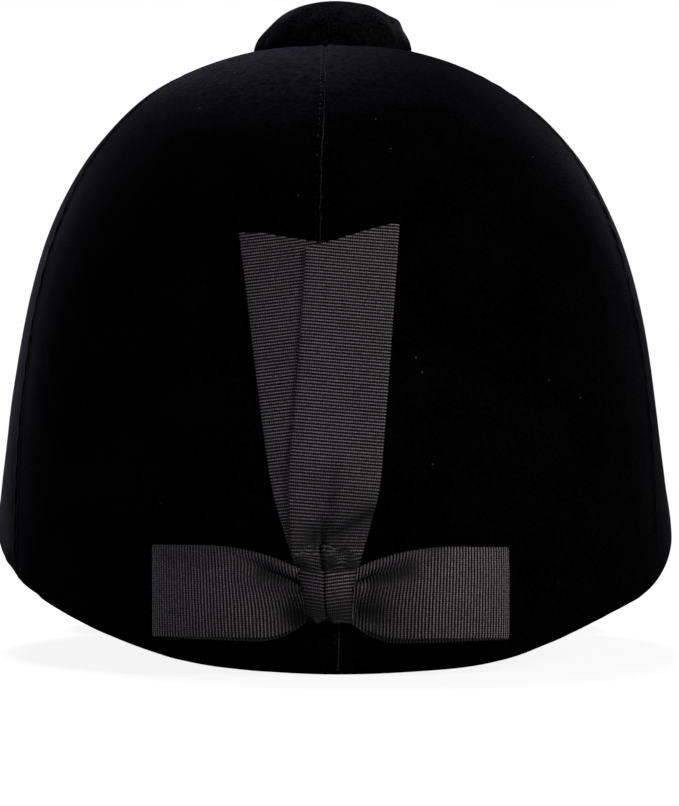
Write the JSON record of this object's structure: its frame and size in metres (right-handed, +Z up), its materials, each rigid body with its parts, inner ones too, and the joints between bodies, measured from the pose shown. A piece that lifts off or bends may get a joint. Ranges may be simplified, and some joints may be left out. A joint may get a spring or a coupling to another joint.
{
  "type": "hunt cap",
  "caption": "Black velvet hunt cap with a covered crown button, a peak, a ribbon bow with two tails at the nape and a folded chin harness inside.",
  "frame": {"origin": "middle of the bounding box on the surface that the cap stands on, under its nape edge and the two low stretches of its peak", "axes": "+Z up, +Y toward the peak, +X toward the wearer's right"},
  "size_m": [0.199, 0.3012, 0.1921],
  "materials": {
    "velvet": "dense black velvet pile",
    "ribbon": "black grosgrain, ribbed",
    "shell": "moulded hard shell",
    "liner_foam": "expanded bead foam, dark grey",
    "lining_cloth": "knitted wicking cloth",
    "headband_leather": "soft grained",
    "soft_foam": "open cell foam",
    "board": "pressed fibre board",
    "button_core": "turned, unfinished",
    "metal": "plain",
    "webbing": "woven nylon",
    "hardware": "moulded nylon"
  },
  "bodies": {
    "cap": {"back_left_velvet": "velvet", "back_right_velvet": "velvet", "front_left_velvet": "velvet", "front_right_velvet": "velvet", "shell": "shell", "liner": "liner_foam", "lining": "lining_cloth", "headband_foam": "soft_foam", "headband_cover": "headband_leather", "crown_pad": "lining_cloth", "peak_board": "board", "peak_cover": "velvet", "peak_lining": "lining_cloth", "peak_piping": "velvet", "peak_rivets": "metal", "button_core": "button_core", "button_cover": "velvet", "button_bolt": "metal", "button_washer": "metal", "button_nut": "metal", "bow_left_loop": "ribbon", "bow_right_loop": "ribbon", "bow_knot": "ribbon", "bow_left_tail": "ribbon", "bow_right_tail": "ribbon", "anchor_rivets": "metal", "anchor_washers": "metal", "anchor_tabs": "webbing"},
    "left_straps": {"left_front_strap": "webbing", "left_rear_strap": "webbing", "left_divider": "hardware"},
    "left_chin": {"left_chin_strap": "webbing", "buckle_socket": "hardware"},
    "right_straps": {"right_front_strap": "webbing", "right_rear_strap": "webbing", "right_divider": "hardware"},
    "right_chin": {"right_chin_strap": "webbing", "buckle_plug": "hardware", "strap_keeper": "webbing"},
    "slider": {"strap_slider": "hardware"}
  },
  "joints": [
    {"name": "left_strap_swing", "type": "hinge", "parent": "cap", "child": "left_straps", "pos_m": [-0.05629, -0.02252, 0.03146], "axis": [0, 0.9842, 0.1768], "range_deg": [0, 178]},
    {"name": "left_chin_fold", "type": "hinge", "parent": "left_straps", "child": "left_chin", "pos_m": [-0.05716, -0.03667, 0.11022], "axis": [0, -0.9842, -0.1768], "range_deg": [0, 178]},
    {"name": "right_strap_swing", "type": "hinge", "parent": "cap", "child": "right_straps", "pos_m": [0.05629, -0.02252, 0.03146], "axis": [0, -0.9842, -0.1768], "range_deg": [0, 178]},
    {"name": "right_chin_fold", "type": "hinge", "parent": "right_straps", "child": "right_chin", "pos_m": [0.05716, -0.03667, 0.11022], "axis": [0, 0.9842, 0.1768], "range_deg": [0, 178]},
    {"name": "slider_travel", "type": "slide", "parent": "right_chin", "child": "slider", "axis": [-0.0384, 0.1767, -0.9835], "range_m": [0, 0.012]}
  ],
  "couplings": [
    {"joint": "left_chin_fold", "follows": "left_strap_swing", "ratio": 1},
    {"joint": "right_chin_fold", "follows": "right_strap_swing", "ratio": 1}
  ]
}
